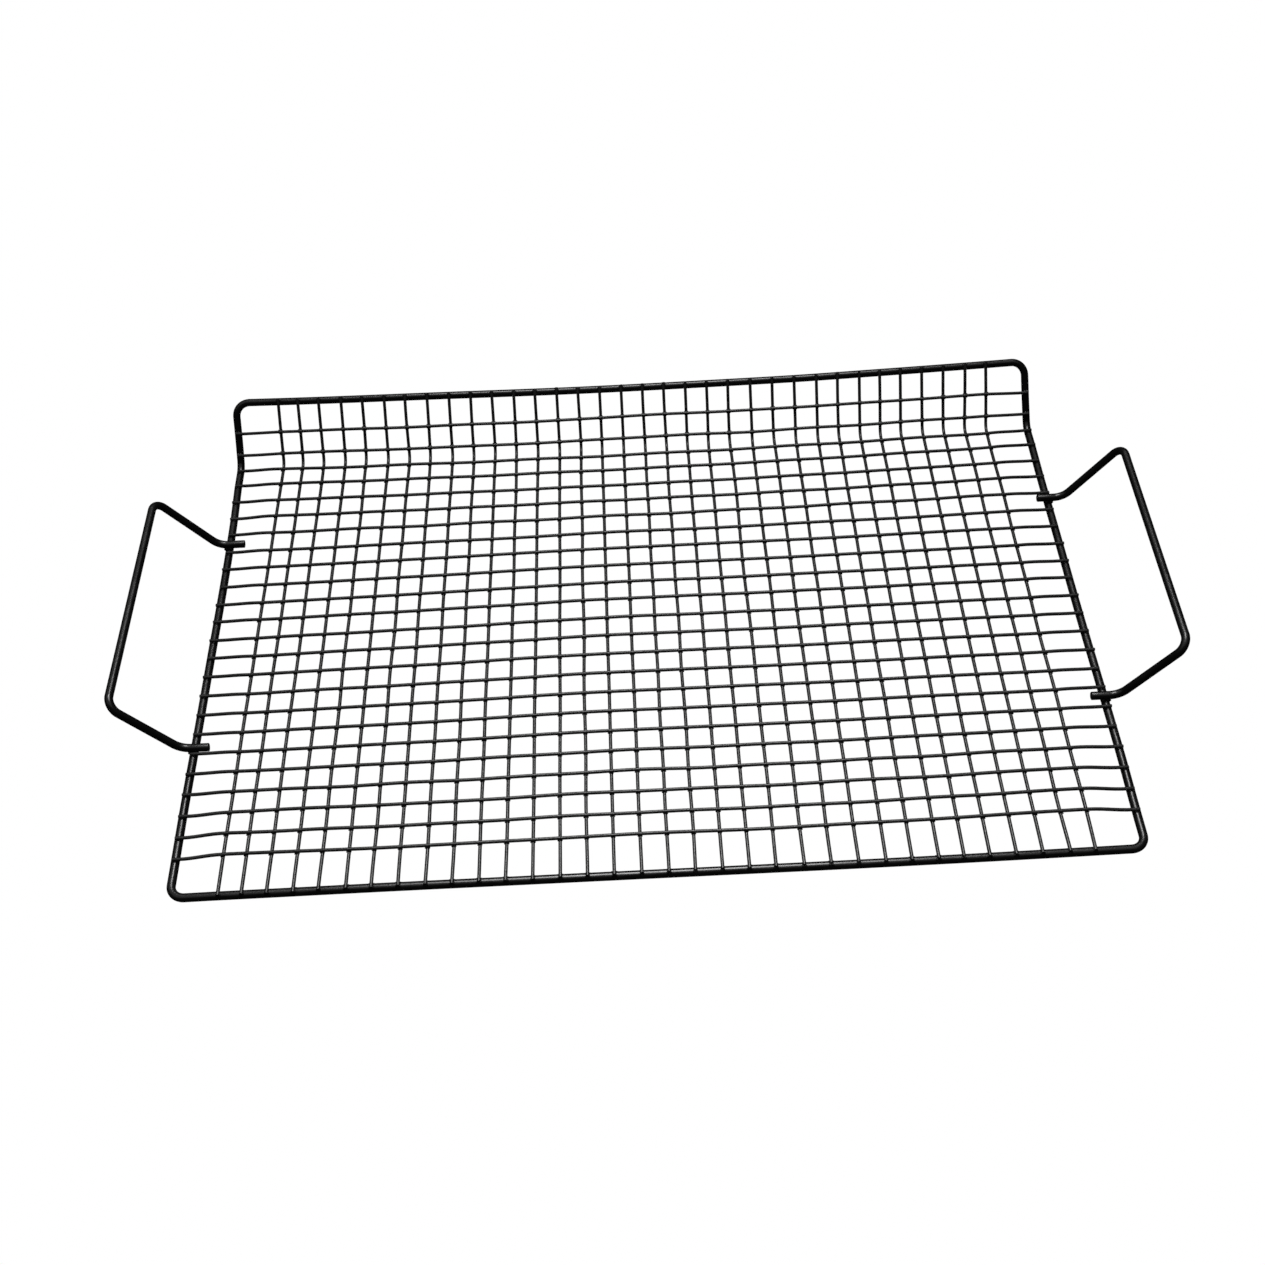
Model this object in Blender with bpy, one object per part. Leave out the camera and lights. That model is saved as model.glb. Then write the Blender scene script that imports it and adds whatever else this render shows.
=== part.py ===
"""Grill basket: a flat wire tray with a raised back edge and two carrying handles.

A square mesh of thin wires is welded on top of a rim bent from one thick rod. The
back edge of rim and mesh is folded up as a lip, and a bent rod handle is welded
across each side rail. Nothing on it moves.

Metres, +Z up. X runs along the tray, -Y is the open front edge, and the lip is at
+Y. The origin is the centre of the footprint, on the surface that the rim rests on.
"""

import math

import bmesh
import bpy
from mathutils import Vector

# Round stock
ROD = 0.0042  # rim and handle rod
WIRE = 0.0015  # mesh wire
GAP = 0.0003  # left between pieces that are welded together

# Mesh
PITCH = 0.0127  # half-inch square cells
LONG_WIRES = 34  # run from the front rail to the back rail
CROSS_WIRES = 24  # run from side rail to side rail, counted from the front

# Rim, as rod centre lines on the sheet before its back edge is folded up
SHEET_WIDTH = 0.465
SHEET_DEPTH = 0.330
CORNER_RADIUS = 0.0075
FRONT_MARGIN = 0.019  # front rail to the first cross wire

# Fold that raises the lip
FOLD_START = 0.2895  # from the front rail
FOLD_RADIUS = 0.010
LIP_ANGLE = math.radians(54)

# Cut ends of the mesh wires, past the centre line of the rail they are welded to
FRONT_END = 0.0012
BACK_END = 0.0028
SIDE_END = 0.0016

# A cross wire lies over the long wires and steps down to the side rails
STEP_FROM_RAIL = 0.0035
STEP_FROM_WIRE = 0.0030
WELD_DEPTH = 0.00045  # how far the joined top wire sinks into the rim

# Handles
FEET_MIDDLE = FRONT_MARGIN + 11 * PITCH  # from the front rail, level with a cross wire
FEET_SPACING = 0.1424
FOOT_INSIDE = 0.0077  # foot's cut end, inside the rail's centre line
FOOT_OUTSIDE = 0.0067  # foot's bend, outside the rail's centre line
GRIP_OUTSIDE = 0.0336
GRIP_RISE = 0.0372
FOOT_RADIUS = 0.010
GRIP_RADIUS = 0.007

# Facets
ROD_SIDES = 16
WIRE_SIDES = 8
ARC_STEP = math.radians(12)
SHARP_EDGE = math.radians(50)
RIGHT_ANGLE = math.pi / 2

# Coatings: colour, roughness
ROD_COATING = ((0.018, 0.018, 0.020), 0.38)
WIRE_COATING = ((0.024, 0.024, 0.026), 0.42)

# Heights of centre lines over the rim's own
LONG_HEIGHT = ROD / 2 + GAP + WIRE / 2
CROSS_HEIGHT = LONG_HEIGHT + WIRE + GAP
JOINED_HEIGHT = ROD / 2 + WIRE / 2 - WELD_DEPTH

# Placing of the sheet: its footprint is centred on the origin
FOLD_ARC = FOLD_RADIUS * LIP_ANGLE
LIP_STRAIGHT = SHEET_DEPTH - FOLD_START - FOLD_ARC
FOOTPRINT = (
    FOLD_START
    + FOLD_RADIUS * math.sin(LIP_ANGLE)
    + LIP_STRAIGHT * math.cos(LIP_ANGLE)
)
FRONT_Y = -FOOTPRINT / 2
RIM_Z = ROD / 2


def fold_angle(depth):
    """Slope of the sheet at this depth from the front rail."""
    return min(max((depth - FOLD_START) / FOLD_RADIUS, 0), LIP_ANGLE)


def folded(x, depth, height=0.0):
    """Point of the folded tray that lies at (x, depth) on the flat sheet."""
    angle = fold_angle(depth)
    on_flat = min(depth, FOLD_START)
    on_lip = max(depth - FOLD_START - FOLD_ARC, 0)
    radius = FOLD_RADIUS - height
    y = on_flat + radius * math.sin(angle) + on_lip * math.cos(angle)
    z = FOLD_RADIUS - radius * math.cos(angle) + on_lip * math.sin(angle)
    return Vector((x, FRONT_Y + y, RIM_Z + z))


def sheet_normal(depth):
    angle = fold_angle(depth)
    return Vector((0, -math.sin(angle), math.cos(angle)))


def cross_wire_depth(number):
    """Depth of a cross wire. The mesh lies inside the fold, so it takes a shorter way round."""
    along = FRONT_MARGIN + (number - 1) * PITCH
    turned = min(max((along - FOLD_START) / (FOLD_RADIUS - LONG_HEIGHT), 0), LIP_ANGLE)
    return along + LONG_HEIGHT * turned


def fold_depths():
    """Depths of the rings that follow the fold, its two ends included."""
    steps = math.ceil(LIP_ANGLE / ARC_STEP)
    return [FOLD_START + FOLD_ARC * i / steps for i in range(steps + 1)]


def rounded(corners, radii):
    """Path through the corners, with each inner corner turned into an arc."""
    path = [corners[0]]
    for before, corner, after, radius in zip(corners, corners[1:], corners[2:], radii):
        path += corner_arc(before, corner, after, radius)
    return path + [corners[-1]]


def corner_arc(before, corner, after, radius):
    into = (corner - before).normalized()
    out = (after - corner).normalized()
    turn = into.angle(out)
    tangent = radius * math.tan(turn / 2)
    start = corner - into * tangent
    inward = (out - into * into.dot(out)).normalized()
    steps = math.ceil(turn / ARC_STEP)
    arc = []
    for i in range(steps + 1):
        angle = turn * i / steps
        arc.append(
            start
            + into * radius * math.sin(angle)
            + inward * radius * (1 - math.cos(angle))
        )
    return arc


def ring_of(bm, centre, tangent, up, radius, sides):
    """Polygon across the path whose flats lie at the radius, one of them facing up."""
    up = (up - tangent * up.dot(tangent)).normalized()
    side = tangent.cross(up)
    corner_radius = radius / math.cos(math.pi / sides)
    verts = []
    for i in range(sides):
        angle = 2 * math.pi * (i + 0.5) / sides
        offset = side * math.cos(angle) + up * math.sin(angle)
        verts.append(bm.verts.new(centre + offset * corner_radius))
    return verts


def tangent_at(path, i, closed):
    """Direction halfway between the two stretches that meet at this point."""
    if closed:
        before, after = path[i - 1], path[(i + 1) % len(path)]
    else:
        before, after = path[max(i - 1, 0)], path[min(i + 1, len(path) - 1)]
    into = (path[i] - before).normalized()
    out = (after - path[i]).normalized()
    return (into + out).normalized()


def carried_up(path, first_up):
    """Up direction at each point of an open path, carried along without twist."""
    ups = [first_up]
    for i in range(1, len(path)):
        turn = tangent_at(path, i - 1, False).rotation_difference(
            tangent_at(path, i, False)
        )
        ups.append(turn @ ups[-1])
    return ups


def swept_mesh(name, path, ups, diameter, sides, closed=False):
    """Round bar along the path, as one closed body."""
    bm = bmesh.new()
    rings = []
    for i, (point, up) in enumerate(zip(path, ups)):
        tangent = tangent_at(path, i, closed)
        rings.append(ring_of(bm, point, tangent, up, diameter / 2, sides))
    following = rings[1:] + rings[:1] if closed else rings[1:]
    for ring, after in zip(rings, following):
        for k in range(sides):
            n = (k + 1) % sides
            bm.faces.new((ring[k], ring[n], after[n], after[k]))
    if not closed:
        bm.faces.new(reversed(rings[0]))
        bm.faces.new(rings[-1])
    bmesh.ops.recalc_face_normals(bm, faces=bm.faces)
    mesh = bpy.data.meshes.new(name)
    bm.to_mesh(mesh)
    bm.free()
    mesh.shade_smooth()
    mesh.set_sharp_from_angle(angle=SHARP_EDGE)
    return mesh


def coating(name, colour, roughness):
    """Baked black coating over steel."""
    material = bpy.data.materials.new(name)
    material.use_nodes = True
    shader = material.node_tree.nodes["Principled BSDF"]
    shader.inputs["Base Color"].default_value = (*colour, 1)
    shader.inputs["Roughness"].default_value = roughness
    shader.inputs["Metallic"].default_value = 0.0
    material.diffuse_color = (*colour, 1)
    return material


def piece(name, mesh, material, parent):
    obj = bpy.data.objects.new(name, mesh)
    if not mesh.materials:
        mesh.materials.append(material)
    bpy.context.scene.collection.objects.link(obj)
    obj.parent = parent
    return obj


def clear_scene():
    for obj in list(bpy.data.objects):
        bpy.data.objects.remove(obj, do_unlink=True)


def whole_tray():
    """Empty that carries every piece."""
    tray = bpy.data.objects.new("grill_basket", None)
    bpy.context.scene.collection.objects.link(tray)
    return tray


def rim_corner(x, depth, quarter):
    """Quarter turn of the rod, which starts this many right angles round from +X."""
    centre_x = x - math.copysign(CORNER_RADIUS, x)
    centre_depth = CORNER_RADIUS if depth == 0 else depth - CORNER_RADIUS
    steps = math.ceil(RIGHT_ANGLE / ARC_STEP)
    corner = []
    for i in range(steps + 1):
        angle = RIGHT_ANGLE * (quarter + i / steps)
        corner.append(
            (
                centre_x + CORNER_RADIUS * math.cos(angle),
                centre_depth + CORNER_RADIUS * math.sin(angle),
            )
        )
    return corner


def rim_outline():
    """Rod centre line on the flat sheet, as (x, depth) points, front left corner first."""
    x = SHEET_WIDTH / 2
    front = rim_corner(-x, 0, 2) + rim_corner(x, 0, 3)
    right = [(x, depth) for depth in fold_depths()]
    back = rim_corner(x, SHEET_DEPTH, 0) + rim_corner(-x, SHEET_DEPTH, 1)
    left = [(-x, depth) for depth in reversed(fold_depths())]
    return front + right + back + left


def make_rim(tray, material):
    """The rim rod, with the lip's top cross wire welded into it."""
    outline = rim_outline()
    path = [folded(x, depth) for x, depth in outline]
    ups = [sheet_normal(depth) for _, depth in outline]
    mesh = swept_mesh("rim_frame", path, ups, ROD, ROD_SIDES, closed=True)
    rim = piece("rim_frame", mesh, material, tray)
    joined = make_cross_wire("top_wire_to_join", CROSS_WIRES, JOINED_HEIGHT, tray, material)
    joined.hide_render = True
    joined.display_type = "WIRE"
    weld = rim.modifiers.new("top wire weld", "BOOLEAN")
    weld.operation = "UNION"
    weld.solver = "EXACT"
    weld.object = joined


def cross_wire_mesh(end_height):
    """Wire along X whose two ends step down to the side rails, about the tray's middle."""
    rail = SHEET_WIDTH / 2
    outer_long_wire = (LONG_WIRES - 1) / 2 * PITCH
    drop = CROSS_HEIGHT - end_height
    half = [
        Vector((outer_long_wire + STEP_FROM_WIRE, 0, 0)),
        Vector((rail - STEP_FROM_RAIL, 0, -drop)),
        Vector((rail + SIDE_END, 0, -drop)),
    ]
    path = [Vector((-p.x, 0, p.z)) for p in reversed(half)] + half
    ups = [Vector((0, 0, 1))] * len(path)
    return swept_mesh("cross_wire", path, ups, WIRE, WIRE_SIDES)


def make_cross_wire(name, number, end_height, tray, material, mesh=None):
    depth = cross_wire_depth(number)
    mesh = mesh or cross_wire_mesh(end_height)
    wire = piece(name, mesh, material, tray)
    wire.location = folded(0, depth, CROSS_HEIGHT)
    wire.rotation_euler.x = fold_angle(depth)
    return wire


def make_cross_wires(tray, material):
    """All but the last one, which is part of the rim frame."""
    mesh = cross_wire_mesh(LONG_HEIGHT)
    for number in range(1, CROSS_WIRES):
        name = f"cross_wire_{number:02d}"
        make_cross_wire(name, number, LONG_HEIGHT, tray, material, mesh)


def make_long_wires(tray, material):
    """Wires that follow the fold from the front rail to the back rail, left to right."""
    depths = [-FRONT_END] + fold_depths() + [SHEET_DEPTH + BACK_END]
    path = [folded(0, depth, LONG_HEIGHT) for depth in depths]
    ups = [sheet_normal(depth) for depth in depths]
    mesh = swept_mesh("long_wire", path, ups, WIRE, WIRE_SIDES)
    for number in range(1, LONG_WIRES + 1):
        wire = piece(f"long_wire_{number:02d}", mesh, material, tray)
        wire.location.x = (number - (LONG_WIRES + 1) / 2) * PITCH


def handle_mesh():
    """Right handle about the middle of its two feet, at the height of the rail's top."""
    half = FEET_SPACING / 2
    foot_z = GAP + ROD / 2
    side = [
        Vector((-FOOT_INSIDE, half, foot_z)),
        Vector((FOOT_OUTSIDE, half, foot_z)),
        Vector((GRIP_OUTSIDE, half, foot_z + GRIP_RISE)),
    ]
    corners = side + [Vector((p.x, -p.y, p.z)) for p in reversed(side)]
    path = rounded(corners, (FOOT_RADIUS, GRIP_RADIUS, GRIP_RADIUS, FOOT_RADIUS))
    ups = carried_up(path, Vector((0, 0, 1)))
    return swept_mesh("handle", path, ups, ROD, ROD_SIDES)


def make_handles(tray, material):
    """Both handles share one mesh: each is the other turned half round."""
    mesh = handle_mesh()
    for name, side, turn in (("handle_right", 1, 0.0), ("handle_left", -1, math.pi)):
        handle = piece(name, mesh, material, tray)
        handle.location = (side * SHEET_WIDTH / 2, FRONT_Y + FEET_MIDDLE, ROD)
        handle.rotation_euler.z = turn


def main():
    clear_scene()
    tray = whole_tray()
    rod_coating = coating("coated_rod", *ROD_COATING)
    wire_coating = coating("coated_wire", *WIRE_COATING)
    make_rim(tray, rod_coating)
    make_long_wires(tray, wire_coating)
    make_cross_wires(tray, wire_coating)
    make_handles(tray, rod_coating)


main()
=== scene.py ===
"""Looks of the grill basket: every rod and wire as the real object shows it, black
coated, with its welds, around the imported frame.

Metres, +Z up, in the frame's own coordinates. -Y is the open front edge, and the lip
is at +Y. Distances called depth run from the front rail, along the sheet of mesh
before its back edge is folded up.
"""

import math
import random

import bmesh
import bpy
from mathutils import Euler, Matrix, Vector


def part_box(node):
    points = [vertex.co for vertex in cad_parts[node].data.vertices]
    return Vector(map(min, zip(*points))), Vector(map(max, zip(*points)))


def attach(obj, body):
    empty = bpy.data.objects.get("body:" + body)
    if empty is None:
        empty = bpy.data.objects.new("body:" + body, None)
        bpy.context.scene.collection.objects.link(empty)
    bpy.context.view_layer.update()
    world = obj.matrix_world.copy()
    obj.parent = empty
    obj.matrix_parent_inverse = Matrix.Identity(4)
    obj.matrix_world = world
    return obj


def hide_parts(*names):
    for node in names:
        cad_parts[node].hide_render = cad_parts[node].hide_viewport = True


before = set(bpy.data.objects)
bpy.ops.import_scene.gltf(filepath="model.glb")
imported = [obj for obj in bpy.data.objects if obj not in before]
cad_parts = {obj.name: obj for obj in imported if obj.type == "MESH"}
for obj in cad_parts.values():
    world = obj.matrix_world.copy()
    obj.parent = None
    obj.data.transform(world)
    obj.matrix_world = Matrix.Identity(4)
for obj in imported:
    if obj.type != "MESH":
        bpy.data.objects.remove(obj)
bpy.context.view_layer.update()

# Stock
ROD = 0.0043  # both with their coating
WIRE = 0.0018

# Mesh
PITCH = 0.0127
LONG_WIRES = 34
CROSS_WIRES = 24
FRONT_MARGIN = 0.019

# Rim, as rod centre lines on the flat sheet
SHEET_WIDTH = 0.465
SHEET_DEPTH = 0.330
FRONT_CORNER_RADIUS = 0.0072
BACK_CORNER_RADIUS = 0.0082
FOLD_START = 0.2895
FOLD_RADIUS = 0.010
LIP_ANGLE = math.radians(54)

# Cut ends of the wires, past the centre line of the rail
FRONT_END = 0.0012
BACK_END = 0.0022
SIDE_END = 0.0013
BOW_SHARE = 0.8  # how far the back ends follow the bow of their rail

# Handles
FEET_SPACING = 0.1424
FOOT_INSIDE = 0.0077
FOOT_OUTSIDE = 0.0067
GRIP_OUTSIDE = 0.0336
GRIP_RISE = 0.0372
FOOT_RADIUS = 0.010
GRIP_RADIUS = 0.0070
HANDLE_TURN = math.radians(-0.5)  # both are welded on a little askew
GRIP_SPLAY = 0.0003  # each corner of the grip lies this much further out than its foot

# Welds: how far one bar sinks into the other
WIRE_SINK = 0.00035
RAIL_SINK = 0.00030
FOOT_SINK = 0.00040

# Centre lines over the rim's own
LONG_HEIGHT = ROD / 2 + WIRE / 2 - RAIL_SINK
CROSS_HEIGHT = LONG_HEIGHT + WIRE - WIRE_SINK
STEP_FROM_RAIL = 0.0032
STEP_FROM_WIRE = 0.0026
RAIL_WELD_HEIGHT = ROD / 2 - 0.0001

# Placing, as in the frame
HALF_WIDTH = SHEET_WIDTH / 2
FOLD_ARC = FOLD_RADIUS * LIP_ANGLE
LIP_STRAIGHT = SHEET_DEPTH - FOLD_START - FOLD_ARC
FOOTPRINT = (
    FOLD_START
    + FOLD_RADIUS * math.sin(LIP_ANGLE)
    + LIP_STRAIGHT * math.cos(LIP_ANGLE)
)
FRONT_Y = -FOOTPRINT / 2
RIM_Z = ROD / 2
FOOT_Z = ROD / 2 + ROD - FOOT_SINK

# Cut ends: softened edge, and how far a cutter leans them at most
WIRE_EDGE = 0.00018
ROD_EDGE = 0.0004
WIRE_LEAN = 0.12
ROD_LEAN = 0.08
END_DOME = 0.2  # how far the middle stands out, as a share of the edge

# Weld nuggets, as shares of the bar: reach over the bars, reach between them, thickness
WIRE_WELD = (0.50, 0.96, 0.40)
RAIL_WELD = (0.55, 1.05, 0.36)
FOOT_WELD = (0.50, 0.76, 0.34)
WELD_SIZES = (0.9, 1.12)  # least and largest of the random sizes
WELD_LATITUDES = (-0.95, -0.45, 0.0, 0.45, 0.95)  # radians
WELD_DOME = 0.1  # share of the thickness

# Facets
ROD_SIDES = 28
WIRE_SIDES = 12
RINGS_PER_CELL = 4
ARC_STEP = math.radians(5)
RIM_CORNER_STEPS = 18
END_STEPS = 3
LONGEST_STRETCH = 0.012
SHORTEST_STRETCH = 0.0004
WELD_SIDES = 16
FOOT_WELD_SIDES = 40
SHARP_EDGE = math.radians(60)


# ---------------------------------------------------------------- folded sheet


def fold_angle(depth):
    return min(max((depth - FOLD_START) / FOLD_RADIUS, 0), LIP_ANGLE)


def folded(x, depth, height=0.0):
    """Point of the folded tray that lies at (x, depth) on the flat sheet."""
    angle = fold_angle(depth)
    on_flat = min(depth, FOLD_START)
    on_lip = max(depth - FOLD_START - FOLD_ARC, 0)
    radius = FOLD_RADIUS - height
    y = on_flat + radius * math.sin(angle) + on_lip * math.cos(angle)
    z = FOLD_RADIUS - radius * math.cos(angle) + on_lip * math.sin(angle)
    return Vector((x, FRONT_Y + y, RIM_Z + z))


def sheet_normal(depth):
    angle = fold_angle(depth)
    return Vector((0, -math.sin(angle), math.cos(angle)))


def sheet_along(depth):
    angle = fold_angle(depth)
    return Vector((0, math.cos(angle), math.sin(angle)))


# ------------------------------------------------- slack of the welded mesh

# The bends are matched to the photograph. They are in metres, along the sheet. A share
# is a place across the tray: -1 at the left rail, 0 in the middle and 1 at the right.


def smooth(value, start, end):
    """Rises gently from 0 at start to 1 at end."""
    t = min(max((value - start) / (end - start), 0), 1)
    return t * t * (3 - 2 * t)


def bump(value, centre, width):
    """A hill of height 1 around the centre."""
    return math.exp(-(((value - centre) / width) ** 2))


def lip_bow(x):
    """The mesh on the lip was pulled a little out of straight as it was folded."""
    share = x / HALF_WIDTH
    return -0.00075 + 0.0027 * share * share + 0.0006 * bump(share, 0.05, 0.14)


def rail_x(side, depth):
    """Centre line of a side rail. Both bow in, and bulge out a little at the fold."""
    at_fold = bump(depth, 0.284, 0.022)
    at_front = 1 - smooth(depth, 0.010, 0.060)
    if side < 0:
        bow = 0.0008 * bump(depth, 0.200, 0.060) + 0.0004 * bump(depth, 0.110, 0.045)
        return -HALF_WIDTH - 0.0004 + bow + 0.0002 * at_front - 0.0008 * at_fold
    bow = 0.00035 * bump(depth, 0.145, 0.055) + 0.0009 * smooth(depth, 0.295, 0.325)
    return HALF_WIDTH + 0.0003 - bow - 0.0005 * at_front + 0.0004 * at_fold


def front_rail_depth(x):
    """Centre line of the front rail, bent to a slight S."""
    share = x / HALF_WIDTH
    dents = 0.00025 * bump(share, -0.95, 0.15) - 0.00025 * bump(share, -0.30, 0.30)
    return -0.0005 * math.sin(math.pi * share) + dents


def back_rail_depth(x):
    """Centre line of the lip's top rail, which sags towards the middle."""
    share = x / HALF_WIDTH
    bow = -0.00065 + 0.0033 * share * share - 0.0001 * share
    dents = 0.0005 * bump(share, -0.5, 0.30) - 0.0002 * bump(share, 0.42, 0.15)
    return SHEET_DEPTH + bow + dents


def depth_drift(x, depth):
    """How far a cross wire lies from its place: the mesh bows a little, most at the fold."""
    share = x / HALF_WIDTH
    off_front = smooth(depth, 0.010, 0.115)
    at_back = smooth(depth, 0.176, 0.290)
    edges = 0.0024 - 0.0038 * off_front + 0.0044 * at_back
    bow = -0.0022 + 0.0030 * off_front - 0.0043 * at_back
    belly = 0.0010 * bump(share, -0.10, 0.27) * (1 - at_back)
    flat = edges + bow * (1 - share * share) - 0.0006 * at_back * share + belly
    on_lip = smooth(depth, 0.288, 0.302)
    return flat + (lip_bow(x) - flat) * on_lip + rail_drift(share, depth)


def rail_drift(share, depth):
    """The last stretch of a cross wire, over to its rail, runs a little askew."""
    askew = -0.0010 + 0.0023 * smooth(depth, 0.030, 0.090) - 0.0022 * smooth(depth, 0.287, 0.300)
    if share < 0:
        askew -= 0.0010 * bump(depth, 0.245, 0.035)
    return askew * smooth(abs(share), 0.88, 1.0)


def side_drift(x, depth):
    """How far a long wire lies from its place. Those left of the middle lean the most."""
    share = x / HALF_WIDTH
    to_front = 1 - depth / SHEET_DEPTH
    left = (0.0011 - 0.0033 * to_front) * bump(share, -0.46, 0.55)
    right = 0.0010 * bump(share, 0.48, 0.125) - 0.0010 * smooth(share, 0.48, 0.78)
    right += 0.0009 * (0.45 - to_front) * smooth(share, 0.15, 0.70)
    return left + right + 0.0004 * bump(share, -0.08, 0.13) - 0.00025


class Waver:
    """Gentle waviness of one wire, the same at each run."""

    def __init__(self, seed, offset, wave):
        draw = random.Random(seed)
        self.offset = draw.gauss(0, offset)
        self.waves = [
            (draw.gauss(0, wave), draw.uniform(40, 110), draw.uniform(0, math.tau))
            for _ in range(3)
        ]

    def at(self, distance):
        return self.offset + sum(
            size * math.sin(rate * distance + phase) for size, rate, phase in self.waves
        )


# Cross wires that were welded off the pitch along their whole length
SLIPPED_ROWS = {13: 0.0006, 16: 0.0004, 18: 0.0003, 19: 0.0006, 22: -0.0005}

LONG_WAVERS = [
    Waver(f"long {number}", offset=0.00015, wave=0.00008)
    for number in range(1, LONG_WIRES + 1)
]
CROSS_WAVERS = [
    Waver(f"cross {number}", offset=0.00012, wave=0.00008)
    for number in range(1, CROSS_WIRES + 1)
]


def long_wire_x(number, depth):
    """Place of a long wire. The leftmost ones lie closer to the rest than the pitch."""
    x = (number - (LONG_WIRES + 1) / 2) * PITCH
    squeezed_in = 0.0019 * 0.4 ** (number - 1)
    return x + squeezed_in + side_drift(x, depth) + LONG_WAVERS[number - 1].at(depth)


def nominal_depth(number):
    """Depth of a cross wire. The mesh lies inside the fold, so it takes a shorter way round."""
    along = FRONT_MARGIN + (number - 1) * PITCH
    turned = min(max((along - FOLD_START) / (FOLD_RADIUS - LONG_HEIGHT), 0), LIP_ANGLE)
    return along + LONG_HEIGHT * turned


def cross_wire_depth(number, x):
    depth = nominal_depth(number)
    slipped = SLIPPED_ROWS.get(number, 0)
    return depth + depth_drift(x, depth) + slipped + CROSS_WAVERS[number - 1].at(x)


def crossing(long_number, cross_number):
    """(x, depth) where the two wires meet."""
    x, depth = 0.0, nominal_depth(cross_number)
    for _ in range(3):
        x = long_wire_x(long_number, depth)
        depth = cross_wire_depth(cross_number, x)
    return x, depth


# ------------------------------------------------------------------ bar meshes


def rounded(corners, radii):
    """Path through the corners, with each inner corner turned into an arc."""
    path = [corners[0]]
    for before, corner, after, radius in zip(corners, corners[1:], corners[2:], radii):
        path += corner_arc(before, corner, after, radius)
    return path + [corners[-1]]


def corner_arc(before, corner, after, radius):
    into = (corner - before).normalized()
    out = (after - corner).normalized()
    turn = into.angle(out)
    start = corner - into * radius * math.tan(turn / 2)
    inward = (out - into * into.dot(out)).normalized()
    steps = math.ceil(turn / ARC_STEP)
    return [
        start
        + into * radius * math.sin(turn * i / steps)
        + inward * radius * (1 - math.cos(turn * i / steps))
        for i in range(steps + 1)
    ]


def tangents_of(path, closed=False):
    found = []
    for i, point in enumerate(path):
        if closed:
            before, after = path[i - 1], path[(i + 1) % len(path)]
        else:
            before, after = path[max(i - 1, 0)], path[min(i + 1, len(path) - 1)]
        into, out = (point - before).normalized(), (after - point).normalized()
        found.append((into + out).normalized())
    return found


def carried(first_up, tangents):
    """Up direction at each point, carried along without twist."""
    ups = [first_up]
    for before, after in zip(tangents, tangents[1:]):
        ups.append(before.rotation_difference(after) @ ups[-1])
    return ups


def add_ring(bm, centre, tangent, up, radius, sides, shear=(0, 0)):
    """Circle across the path. Shear leans it, as a cutter leaves an end."""
    up = (up - tangent * up.dot(tangent)).normalized()
    side = tangent.cross(up)
    ring = []
    for i in range(sides):
        angle = math.tau * (i + 0.5) / sides
        across, over = math.cos(angle) * radius, math.sin(angle) * radius
        lean = across * shear[0] + over * shear[1]
        ring.append(bm.verts.new(centre + side * across + up * over + tangent * lean))
    return ring


def join_rings(bm, ring, after):
    count = len(ring)
    for k in range(count):
        n = (k + 1) % count
        bm.faces.new((ring[k], ring[n], after[n], after[k]))


def end_rings(radius, edge):
    """(distance from the end, radius) of the rings that round an end's edge."""
    turns = [math.pi / 2 * i / END_STEPS for i in range(END_STEPS + 1)]
    return [
        (edge * (1 - math.sin(turn)), radius - edge * (1 - math.cos(turn)))
        for turn in turns
    ]


def add_loop(bm, path, ups, diameter, sides):
    """Round bar along the path and back to its start."""
    tangents = tangents_of(path, closed=True)
    rings = [
        add_ring(bm, point, tangent, up, diameter / 2, sides)
        for point, tangent, up in zip(path, tangents, ups)
    ]
    for ring, after in zip(rings, rings[1:] + rings[:1]):
        join_rings(bm, ring, after)


def add_bar(bm, path, ups, diameter, sides, shears, edge):
    """Round bar along the path. Its ends are cut off, with the edge softened."""
    radius = diameter / 2
    tangents = tangents_of(path)
    profile = end_rings(radius, edge)
    rings = []
    for away, end_radius in reversed(profile):
        centre = path[0] + tangents[0] * away
        rings.append(add_ring(bm, centre, tangents[0], ups[0], end_radius, sides, shears[0]))
    for point, tangent, up in list(zip(path, tangents, ups))[1:-1]:
        rings.append(add_ring(bm, point, tangent, up, radius, sides))
    for away, end_radius in profile:
        centre = path[-1] - tangents[-1] * away
        rings.append(add_ring(bm, centre, tangents[-1], ups[-1], end_radius, sides, shears[1]))
    for ring, after in zip(rings, rings[1:]):
        join_rings(bm, ring, after)
    cap_end(bm, rings[0], -tangents[0] * edge * END_DOME, True)
    cap_end(bm, rings[-1], tangents[-1] * edge * END_DOME, False)


def cap_end(bm, ring, dome, turned):
    """Closes a ring with a fan of faces whose middle stands out by the dome."""
    centre = sum((v.co for v in ring), Vector()) / len(ring)
    middle = bm.verts.new(centre + dome)
    for k, vert in enumerate(ring):
        following = ring[(k + 1) % len(ring)]
        bm.faces.new((following, vert, middle) if turned else (vert, following, middle))


def add_nugget(bm, centre, axes, bar, shares, size=1, around=WELD_SIDES):
    """Lens of squeezed-out metal and coating where two bars cross, four-lobed between them."""
    along, across, up = axes
    straight, diagonal = bar * shares[0], bar * shares[1] * size
    thickness = bar * shares[2] * size
    rings = []
    for latitude in WELD_LATITUDES:
        ring = []
        for i in range(around):
            angle = math.tau * i / around
            reach = straight + (diagonal - straight) * math.sin(2 * angle) ** 2
            reach *= math.cos(latitude)
            ring.append(
                bm.verts.new(
                    centre
                    + along * math.cos(angle) * reach
                    + across * math.sin(angle) * reach
                    + up * math.sin(latitude) * thickness
                )
            )
        rings.append(ring)
    for ring, after in zip(rings, rings[1:]):
        join_rings(bm, ring, after)
    cap_end(bm, rings[0], -up * thickness * WELD_DOME, True)
    cap_end(bm, rings[-1], up * thickness * WELD_DOME, False)


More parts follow.
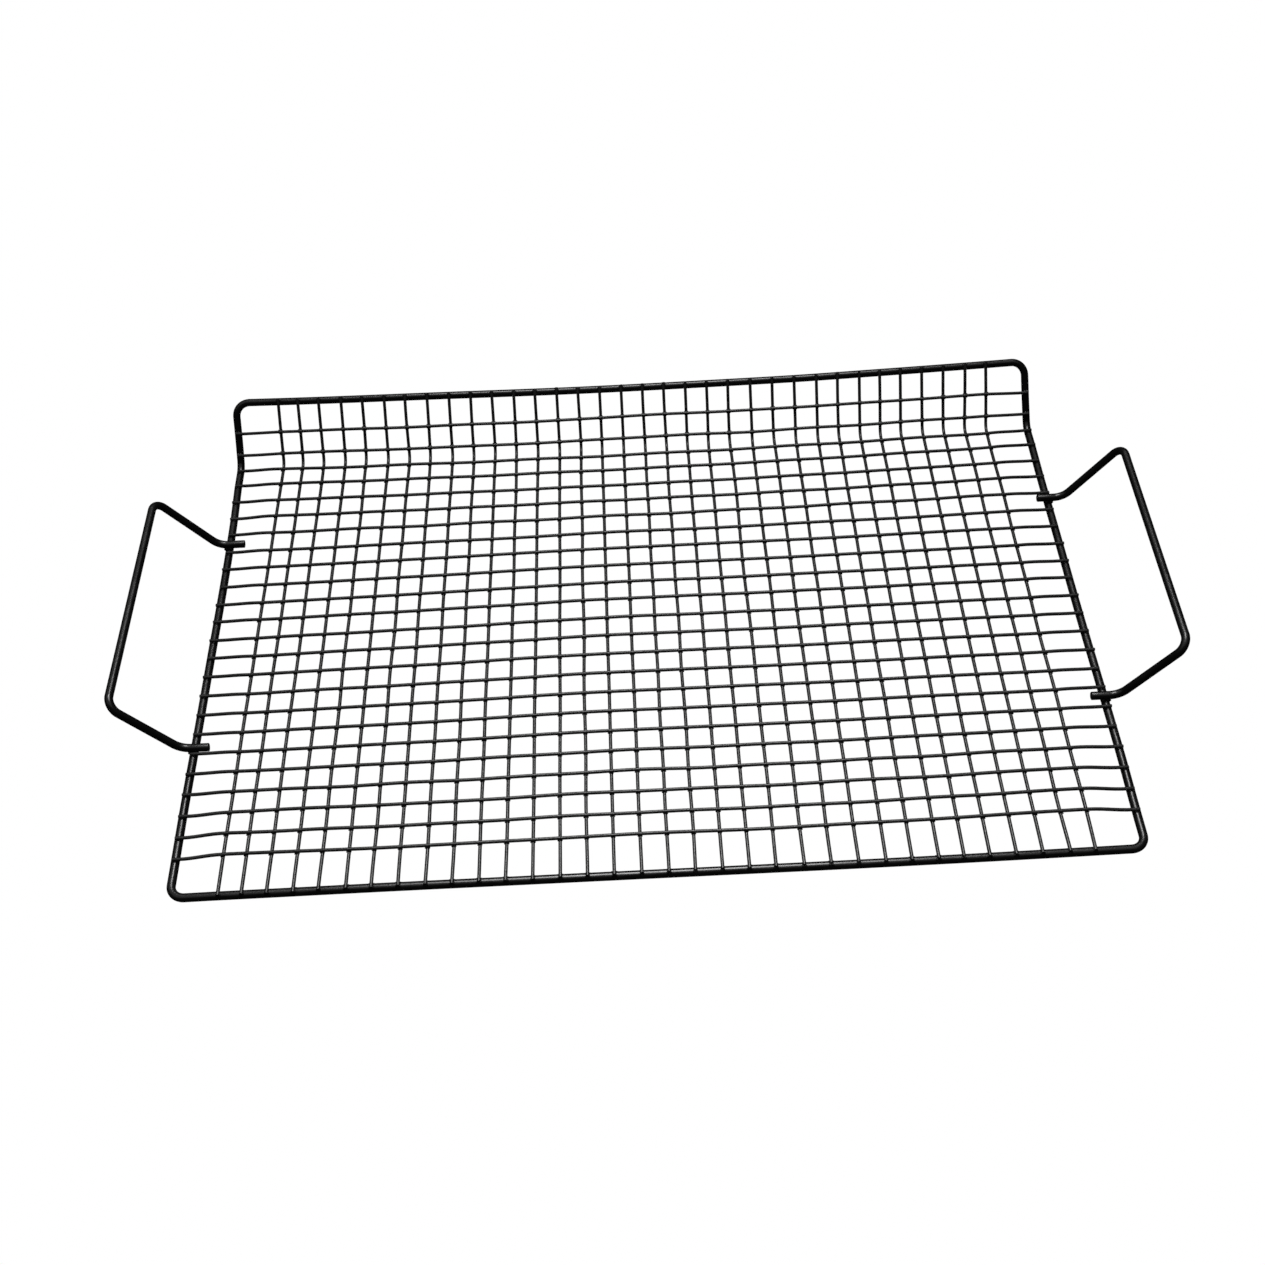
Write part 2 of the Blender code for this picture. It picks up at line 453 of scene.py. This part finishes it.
def finished(name, bm, material, slot, *nodes):
    """Makes the piece an object that rides on the tray, in place of these nodes."""
    bmesh.ops.recalc_face_normals(bm, faces=bm.faces)
    mesh = bpy.data.meshes.new(name)
    bm.to_mesh(mesh)
    bm.free()
    mesh.shade_smooth()
    mesh.set_sharp_from_angle(angle=SHARP_EDGE)
    mesh.materials.append(material)
    piece = bpy.data.objects.new(name, mesh)
    bpy.context.scene.collection.objects.link(piece)
    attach(piece, "root")
    if nodes:
        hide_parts(*nodes)


# ------------------------------------------------------------------- materials

# Noise scales: cycles per metre, roughly
PATCHES = 75
PEBBLE = 1500
GRAIN = 6000
PEBBLE_HEIGHT = 0.00008  # metres


def coating(name, dark, light, roughness, peel):
    """Baked black coating: uneven tone and gloss, with the fine pebble of sprayed enamel."""
    material = bpy.data.materials.new(name)
    material.use_nodes = True
    nodes, links = material.node_tree.nodes, material.node_tree.links
    shader = nodes["Principled BSDF"]
    place = nodes.new("ShaderNodeTexCoord").outputs["Object"]

    def noise(scale, detail):
        node = nodes.new("ShaderNodeTexNoise")
        node.inputs["Scale"].default_value = scale
        node.inputs["Detail"].default_value = detail
        links.new(place, node.inputs["Vector"])
        return node.outputs["Fac"]

    def ramp(value, low, high, first, last):
        node = nodes.new("ShaderNodeMapRange")
        node.inputs["From Min"].default_value = low
        node.inputs["From Max"].default_value = high
        node.inputs["To Min"].default_value = first
        node.inputs["To Max"].default_value = last
        links.new(value, node.inputs["Value"])
        return node.outputs["Result"]

    patches = noise(PATCHES, 3)
    pebble = noise(PEBBLE, 2)
    grain = noise(GRAIN, 1)

    tone = nodes.new("ShaderNodeMix")
    tone.data_type = "RGBA"
    tone.inputs["A"].default_value = (*dark, 1)
    tone.inputs["B"].default_value = (*light, 1)
    links.new(ramp(patches, 0.35, 0.7, 0, 1), tone.inputs["Factor"])
    links.new(tone.outputs["Result"], shader.inputs["Base Color"])

    gloss = nodes.new("ShaderNodeMath")
    gloss.operation = "ADD"
    links.new(ramp(patches, 0.3, 0.7, roughness - 0.05, roughness + 0.07), gloss.inputs[0])
    links.new(ramp(grain, 0.3, 0.7, -0.03, 0.03), gloss.inputs[1])
    links.new(gloss.outputs["Value"], shader.inputs["Roughness"])

    relief = nodes.new("ShaderNodeMath")
    relief.operation = "MULTIPLY_ADD"
    relief.inputs[1].default_value = 0.25
    links.new(grain, relief.inputs[0])
    links.new(pebble, relief.inputs[2])
    bumped = nodes.new("ShaderNodeBump")
    bumped.inputs["Strength"].default_value = peel
    bumped.inputs["Distance"].default_value = PEBBLE_HEIGHT
    links.new(relief.outputs["Value"], bumped.inputs["Height"])
    links.new(bumped.outputs["Normal"], shader.inputs["Normal"])
    material.diffuse_color = (*dark, 1)
    return material


ROD_COAT = coating("rod coating", (0.003, 0.003, 0.003), (0.006, 0.006, 0.006), 0.26, 0.2)
# The wires carry the same black enamel as the rods, but their base colour is lighter: painted
# sheen standing in for the highlights on the thin wires' tops. Their uneven tone from patch to
# patch is random.
WIRE_COAT_PAINTED_SHEEN = coating("wire coating with painted sheen", (0.013, 0.013, 0.013), (0.022, 0.022, 0.022), 0.34, 0.3)
WELD_COAT = coating("weld coating", (0.003, 0.003, 0.003), (0.006, 0.006, 0.006), 0.46, 0.8)


# -------------------------------------------------------------------- the tray


def arc_depths():
    steps = math.ceil(LIP_ANGLE / ARC_STEP)
    return [FOLD_START + FOLD_ARC * i / steps for i in range(steps + 1)]


def rim_corner(x, depth, quarter):
    """Arc of (x, depth) points round a corner of the rim, from this quarter of a turn."""
    radius = FRONT_CORNER_RADIUS if depth == 0 else BACK_CORNER_RADIUS
    centre_x = x - math.copysign(radius, x)
    centre_depth = radius if depth == 0 else depth - radius
    turns = [math.pi / 2 * (quarter + i / RIM_CORNER_STEPS) for i in range(RIM_CORNER_STEPS + 1)]
    return [
        (centre_x + radius * math.cos(turn), centre_depth + radius * math.sin(turn))
        for turn in turns
    ]


def between(start, end):
    """Points strictly between two (x, depth) points, no further apart than a stretch."""
    steps = max(math.ceil(math.dist(start, end) / LONGEST_STRETCH), 1)
    return [
        (
            start[0] + (end[0] - start[0]) * i / steps,
            start[1] + (end[1] - start[1]) * i / steps,
        )
        for i in range(1, steps)
    ]


def settled(x, depth):
    """The rim's point where the bows of its four rails leave it."""
    side = math.copysign(1, x)
    at_front = 1 - smooth(depth, 0.002, 0.020)
    at_back = smooth(depth, FOLD_START + FOLD_ARC, SHEET_DEPTH - 0.004)
    moved = front_rail_depth(x) * at_front + (back_rail_depth(x) - SHEET_DEPTH) * at_back
    at_side = smooth(abs(x), HALF_WIDTH - BACK_CORNER_RADIUS * 2, HALF_WIDTH)
    return x + (rail_x(side, depth) - side * HALF_WIDTH) * at_side, depth + moved


def make_rim():
    x = HALF_WIDTH
    corners = [
        rim_corner(-x, 0, 2),
        rim_corner(x, 0, 3),
        [(x, depth) for depth in arc_depths()],
        rim_corner(x, SHEET_DEPTH, 0),
        rim_corner(-x, SHEET_DEPTH, 1),
        [(-x, depth) for depth in reversed(arc_depths())],
    ]
    outline = []
    for stretch, following in zip(corners, corners[1:] + corners[:1]):
        outline += stretch + between(stretch[-1], following[0])
    outline = [settled(x, depth) for x, depth in outline]
    path = [folded(x, depth) for x, depth in outline]
    ups = [sheet_normal(depth) for _, depth in outline]
    bm = bmesh.new()
    add_loop(bm, path, ups, ROD, ROD_SIDES)
    finished("rim_rod", bm, ROD_COAT, "coated_rod", "rim_frame")


def cut_lean(draw, most):
    return (draw.uniform(-most, most), draw.uniform(-most, most))


def make_long_wire(number):
    draw = random.Random(f"long end {number}")
    first = -FRONT_END + draw.uniform(-0.0004, 0.0004)
    rail_bow = back_rail_depth(long_wire_x(number, SHEET_DEPTH)) - SHEET_DEPTH
    last = SHEET_DEPTH + BACK_END + BOW_SHARE * rail_bow + draw.uniform(-0.0003, 0.0003)
    cells = math.ceil((last - first) / PITCH) * RINGS_PER_CELL
    depths = [first + (last - first) * i / cells for i in range(cells + 1)]
    depths = sorted(set(depths + arc_depths()))
    depths = [
        depth
        for i, depth in enumerate(depths)
        if i == 0 or depth - depths[i - 1] > SHORTEST_STRETCH
    ]
    path = [folded(long_wire_x(number, d), d, LONG_HEIGHT) for d in depths]
    ups = [sheet_normal(d) for d in depths]
    bm = bmesh.new()
    shears = (cut_lean(draw, WIRE_LEAN), cut_lean(draw, WIRE_LEAN))
    add_bar(bm, path, ups, WIRE, WIRE_SIDES, shears, WIRE_EDGE)
    name = f"long_wire_{number:02d}"
    finished(name + "_coated", bm, WIRE_COAT_PAINTED_SHEEN, "coated_wire", name)


def cross_height(x, outer_left, outer_right):
    """Height of a cross wire, which steps down from the outer long wires to the rails."""
    if x < 0:
        over, rail = outer_left - STEP_FROM_WIRE, -HALF_WIDTH + STEP_FROM_RAIL
        down = smooth(-x, -over, -rail)
    else:
        over, rail = outer_right + STEP_FROM_WIRE, HALF_WIDTH - STEP_FROM_RAIL
        down = smooth(x, over, rail)
    return CROSS_HEIGHT + (LONG_HEIGHT - CROSS_HEIGHT) * down


def make_cross_wire(number):
    draw = random.Random(f"cross end {number}")
    outer_left = crossing(1, number)[0]
    outer_right = crossing(LONG_WIRES, number)[0]
    depth = nominal_depth(number)
    left = rail_x(-1, depth) - SIDE_END + draw.uniform(-0.0004, 0.0003)
    right = rail_x(1, depth) + SIDE_END + draw.uniform(-0.0003, 0.0004)
    cells = math.ceil((right - left) / PITCH) * RINGS_PER_CELL
    xs = [left + (right - left) * i / cells for i in range(cells + 1)]
    path, ups = [], []
    for x in xs:
        depth = cross_wire_depth(number, x)
        path.append(folded(x, depth, cross_height(x, outer_left, outer_right)))
        ups.append(sheet_normal(depth))
    bm = bmesh.new()
    shears = (cut_lean(draw, WIRE_LEAN), cut_lean(draw, WIRE_LEAN))
    add_bar(bm, path, ups, WIRE, WIRE_SIDES, shears, WIRE_EDGE)
    name = f"cross_wire_{number:02d}"
    replaced = [name] if number < CROSS_WIRES else []
    finished(name + "_coated", bm, WIRE_COAT_PAINTED_SHEEN, "coated_wire", *replaced)


def add_sheet_nugget(bm, x, depth, height, shares, size):
    """Weld of a wire, lying level with the sheet at this place."""
    axes = (Vector((1, 0, 0)), sheet_along(depth), sheet_normal(depth))
    add_nugget(bm, folded(x, depth, height), axes, WIRE, shares, size)


def make_weld_row(number):
    """Welds of one cross wire to every long wire and to the two side rails."""
    draw = random.Random(f"welds {number}")
    bm = bmesh.new()
    height = (LONG_HEIGHT + CROSS_HEIGHT) / 2
    for long_number in range(1, LONG_WIRES + 1):
        x, depth = crossing(long_number, number)
        add_sheet_nugget(bm, x, depth, height, WIRE_WELD, draw.uniform(*WELD_SIZES))
    for side in (-1, 1):
        x = rail_x(side, nominal_depth(number))
        depth = cross_wire_depth(number, x)
        add_sheet_nugget(bm, x, depth, RAIL_WELD_HEIGHT, RAIL_WELD, draw.uniform(*WELD_SIZES))
    finished(f"welds_cross_{number:02d}", bm, WELD_COAT, "coated_wire")


def make_rail_welds(name, depth):
    """Welds of the long wires to the front or the back rail."""
    draw = random.Random(name)
    bm = bmesh.new()
    for number in range(1, LONG_WIRES + 1):
        x, rail_depth = settled(long_wire_x(number, depth), depth)
        size = draw.uniform(*WELD_SIZES)
        add_sheet_nugget(bm, x, rail_depth, RAIL_WELD_HEIGHT, RAIL_WELD, size)
    finished(name, bm, WELD_COAT, "coated_wire")


def handle_path(side, x, middle_y, lean):
    """Centre line of a handle, from the cut end of its back foot to that of its front foot."""
    back_y = middle_y + FEET_SPACING / 2
    length = math.hypot(GRIP_OUTSIDE - FOOT_OUTSIDE, GRIP_RISE)
    slope = math.atan2(GRIP_RISE, GRIP_OUTSIDE - FOOT_OUTSIDE) + lean
    reach, rise = length * math.cos(slope), length * math.sin(slope)
    leg = [
        Vector((x - side * FOOT_INSIDE, back_y, FOOT_Z)),
        Vector((x + side * FOOT_OUTSIDE, back_y, FOOT_Z)),
        Vector((x + side * (FOOT_OUTSIDE + reach), back_y + GRIP_SPLAY, FOOT_Z + rise)),
    ]
    corners = leg + [Vector((p.x, 2 * middle_y - p.y, p.z)) for p in reversed(leg)]
    middle = Vector((x, middle_y, 0))
    askew = Matrix.Rotation(HANDLE_TURN, 3, "Z")
    corners = [middle + askew @ (p - middle) for p in corners]
    radii = (FOOT_RADIUS, GRIP_RADIUS, GRIP_RADIUS, FOOT_RADIUS)
    return filled_in(rounded(corners, radii))


def make_handle(name, side, outward, backward, lean):
    """Bent rod whose two feet are welded across the side rail, a little off its place."""
    low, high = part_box(name)
    middle_y = (low.y + high.y) / 2 + backward
    path = handle_path(side, side * (HALF_WIDTH + outward), middle_y, lean)
    ups = carried(Vector((0, 0, 1)), tangents_of(path))
    draw = random.Random(name)
    bm = bmesh.new()
    shears = (cut_lean(draw, ROD_LEAN), cut_lean(draw, ROD_LEAN))
    add_bar(bm, path, ups, ROD, ROD_SIDES, shears, ROD_EDGE)
    finished(name + "_rod", bm, ROD_COAT, "coated_rod", name)
    for end, label in ((-1, "front"), (1, "back")):
        y = middle_y + end * FEET_SPACING / 2
        centre = Vector((rail_x(side, y - FRONT_Y), y, (RIM_Z + FOOT_Z) / 2))
        axes = (Vector((1, 0, 0)), Vector((0, 1, 0)), Vector((0, 0, 1)))
        bm = bmesh.new()
        add_nugget(bm, centre, axes, ROD, FOOT_WELD, around=FOOT_WELD_SIDES)
        finished(f"{name}_weld_{label}", bm, WELD_COAT, "coated_rod")


def filled_in(path):
    """The same path, with no stretch too long."""
    filled = [path[0]]
    for before, after in zip(path, path[1:]):
        steps = max(math.ceil((after - before).length / LONGEST_STRETCH), 1)
        filled += [before.lerp(after, i / steps) for i in range(1, steps + 1)]
    return filled


make_rim()
for wire_number in range(1, LONG_WIRES + 1):
    make_long_wire(wire_number)
for wire_number in range(1, CROSS_WIRES + 1):
    make_cross_wire(wire_number)
    make_weld_row(wire_number)
make_rail_welds("welds_front_rail", 0.0)
make_rail_welds("welds_back_rail", SHEET_DEPTH)
make_handle("handle_right", 1, outward=0.0008, backward=0.0017, lean=math.radians(0.3))
make_handle("handle_left", -1, outward=-0.0014, backward=-0.0013, lean=math.radians(-1.0))


# ---------------------------------------------------------------------- studio

FLOOR_HALF = 6
DIM_SURROUNDINGS = 0.02

CAMERA_PLACE = (-0.0036, -0.5644, 0.6572)
CAMERA_AZIMUTH = math.radians(0.28)
CAMERA_ELEVATION = math.radians(49.60)
CAMERA_ROLL = math.radians(-3.227)
CAMERA_LENS = 45.68


def make_floor():
    """White sweep that the camera sees and the tray doesn't reflect."""
    bm = bmesh.new()
    bmesh.ops.create_grid(bm, x_segments=8, y_segments=8, size=FLOOR_HALF)
    mesh = bpy.data.meshes.new("floor")
    bm.to_mesh(mesh)
    bm.free()
    floor = bpy.data.objects.new("floor", mesh)
    bpy.context.scene.collection.objects.link(floor)
    material = bpy.data.materials.new("white sweep")
    material.use_nodes = True
    nodes, links = material.node_tree.nodes, material.node_tree.links
    nodes.clear()
    glow = nodes.new("ShaderNodeEmission")
    glow.inputs["Color"].default_value = (1, 1, 1, 1)
    glow.inputs["Strength"].default_value = 1.0
    output = nodes.new("ShaderNodeOutputMaterial")
    links.new(glow.outputs["Emission"], output.inputs["Surface"])
    mesh.materials.append(material)
    floor.visible_glossy = False
    floor.visible_diffuse = False
    floor.visible_shadow = False


def make_world():
    """White to the camera, nearly dark to the coating's reflections."""
    world = bpy.data.worlds.new("studio")
    bpy.context.scene.world = world
    world.use_nodes = True
    nodes, links = world.node_tree.nodes, world.node_tree.links
    nodes.clear()
    seen = nodes.new("ShaderNodeBackground")
    seen.inputs["Color"].default_value = (1, 1, 1, 1)
    dim = nodes.new("ShaderNodeBackground")
    dim.inputs["Color"].default_value = (1, 1, 1, 1)
    dim.inputs["Strength"].default_value = DIM_SURROUNDINGS
    ray = nodes.new("ShaderNodeLightPath")
    mix = nodes.new("ShaderNodeMixShader")
    output = nodes.new("ShaderNodeOutputWorld")
    links.new(ray.outputs["Is Camera Ray"], mix.inputs["Fac"])
    links.new(dim.outputs["Background"], mix.inputs[1])
    links.new(seen.outputs["Background"], mix.inputs[2])
    links.new(mix.outputs["Shader"], output.inputs["Surface"])


def make_softbox(name, place, aim, size, radiance, spread=180):
    """Rectangular light. A spread below 180 degrees is a grid that narrows its beam."""
    width, length = size
    data = bpy.data.lights.new(name, "AREA")
    data.shape = "RECTANGLE"
    data.size, data.size_y = width, length
    data.energy = radiance * math.pi * width * length
    data.spread = math.radians(spread)
    light = bpy.data.objects.new(name, data)
    bpy.context.scene.collection.objects.link(light)
    light.location = place
    light.rotation_euler = (Vector(aim) - Vector(place)).to_track_quat("-Z", "Y").to_euler()


def make_lights():
    """A gridded softbox overhead, aimed past the front rail, and a broad dim ceiling."""
    make_softbox(
        "overhead",
        place=(0.02, 0.276, 1.313),
        aim=(0.02, -0.54, 0),
        size=(0.53, 0.85),
        radiance=2.7,
        spread=70,
    )
    make_softbox(
        "ceiling",
        place=(-0.9, 1.0, 2.4),
        aim=(-0.9, 1.0, 0),
        size=(5, 5),
        radiance=0.36,
    )


def make_camera():
    data = bpy.data.cameras.new("camera")
    data.sensor_width = 36
    data.lens = CAMERA_LENS
    data.clip_start, data.clip_end = 0.01, 50
    camera = bpy.data.objects.new("camera", data)
    bpy.context.scene.collection.objects.link(camera)
    level = Euler((math.pi / 2 - CAMERA_ELEVATION, 0, CAMERA_AZIMUTH)).to_matrix()
    roll = Matrix.Rotation(CAMERA_ROLL, 3, "Z")
    camera.matrix_world = Matrix.Translation(CAMERA_PLACE) @ (level @ roll).to_4x4()
    bpy.context.scene.camera = camera


make_floor()
make_world()
make_lights()
make_camera()
bpy.context.scene.view_settings.view_transform = "Standard"
